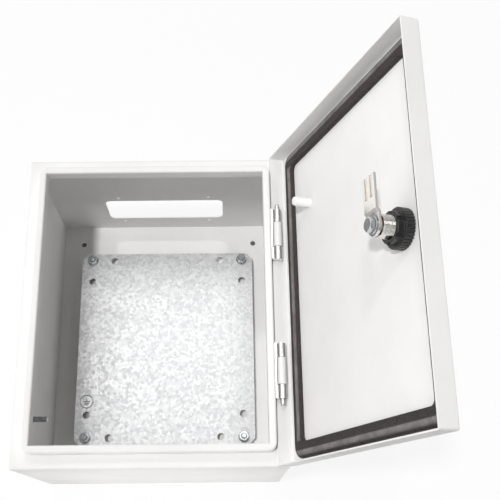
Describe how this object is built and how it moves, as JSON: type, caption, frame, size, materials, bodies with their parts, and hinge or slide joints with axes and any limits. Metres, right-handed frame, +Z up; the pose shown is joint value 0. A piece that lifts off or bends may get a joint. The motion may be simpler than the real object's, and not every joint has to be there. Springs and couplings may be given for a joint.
{
  "type": "distribution box",
  "caption": "Wall-hung sheet steel enclosure with a hinged, gasketed door, a cam lock, a galvanised mounting plate and an open cable entry in its top.",
  "frame": {"origin": "middle of the four wall holes, on the outer face of the back panel", "axes": "+X to the right seen from the front, +Y into the wall, +Z up; the door faces -Y when closed"},
  "size_m": [0.3376, 0.4185, 0.3],
  "materials": {
    "white_paint": "fine-grained white powder coat",
    "galvanised_sheet": "galvanised, with spangle",
    "plated_steel": "bright plated",
    "zinc_fixings": "bluish zinc plate",
    "foam_gasket": "matt foam",
    "rubber_seal": "matt",
    "black_plastic": "moulded, slightly shiny",
    "white_plastic": "smooth"
  },
  "bodies": {
    "cabinet": {"cabinet_shell": "white_paint", "back_panel": "white_paint", "mounting_plate": "galvanised_sheet", "plate_studs": "zinc_fixings", "plate_spacers": "zinc_fixings", "plate_washers": "zinc_fixings", "plate_spring_washers": "zinc_fixings", "plate_nuts": "zinc_fixings", "cabinet_earth_stud": "zinc_fixings", "upper_hinge_bracket": "plated_steel", "lower_hinge_bracket": "plated_steel", "upper_hinge_pin": "plated_steel", "lower_hinge_pin": "plated_steel"},
    "door": {"door_panel": "white_paint", "door_gasket": "foam_gasket", "door_earth_stud": "zinc_fixings", "door_stud_cap": "white_plastic", "lock_housing": "plated_steel", "lock_seal": "rubber_seal", "lock_nut": "black_plastic", "upper_door_knuckle": "white_paint", "lower_door_knuckle": "white_paint"},
    "lock_plug": {"lock_spindle": "plated_steel", "lock_cam": "plated_steel", "cam_washer": "zinc_fixings", "cam_bolt": "zinc_fixings"}
  },
  "joints": [
    {"name": "door_hinge", "type": "hinge", "parent": "cabinet", "child": "door", "pos_m": [0.1189, -0.1883, 0], "axis": [0, 0, 1], "range_deg": [-110, 0]},
    {"name": "lock_turn", "type": "hinge", "parent": "door", "child": "lock_plug", "pos_m": [0.19878, -0.37355, -0.0015], "axis": [-0.9397, -0.342, 0], "range_deg": [-90, 0]}
  ]
}
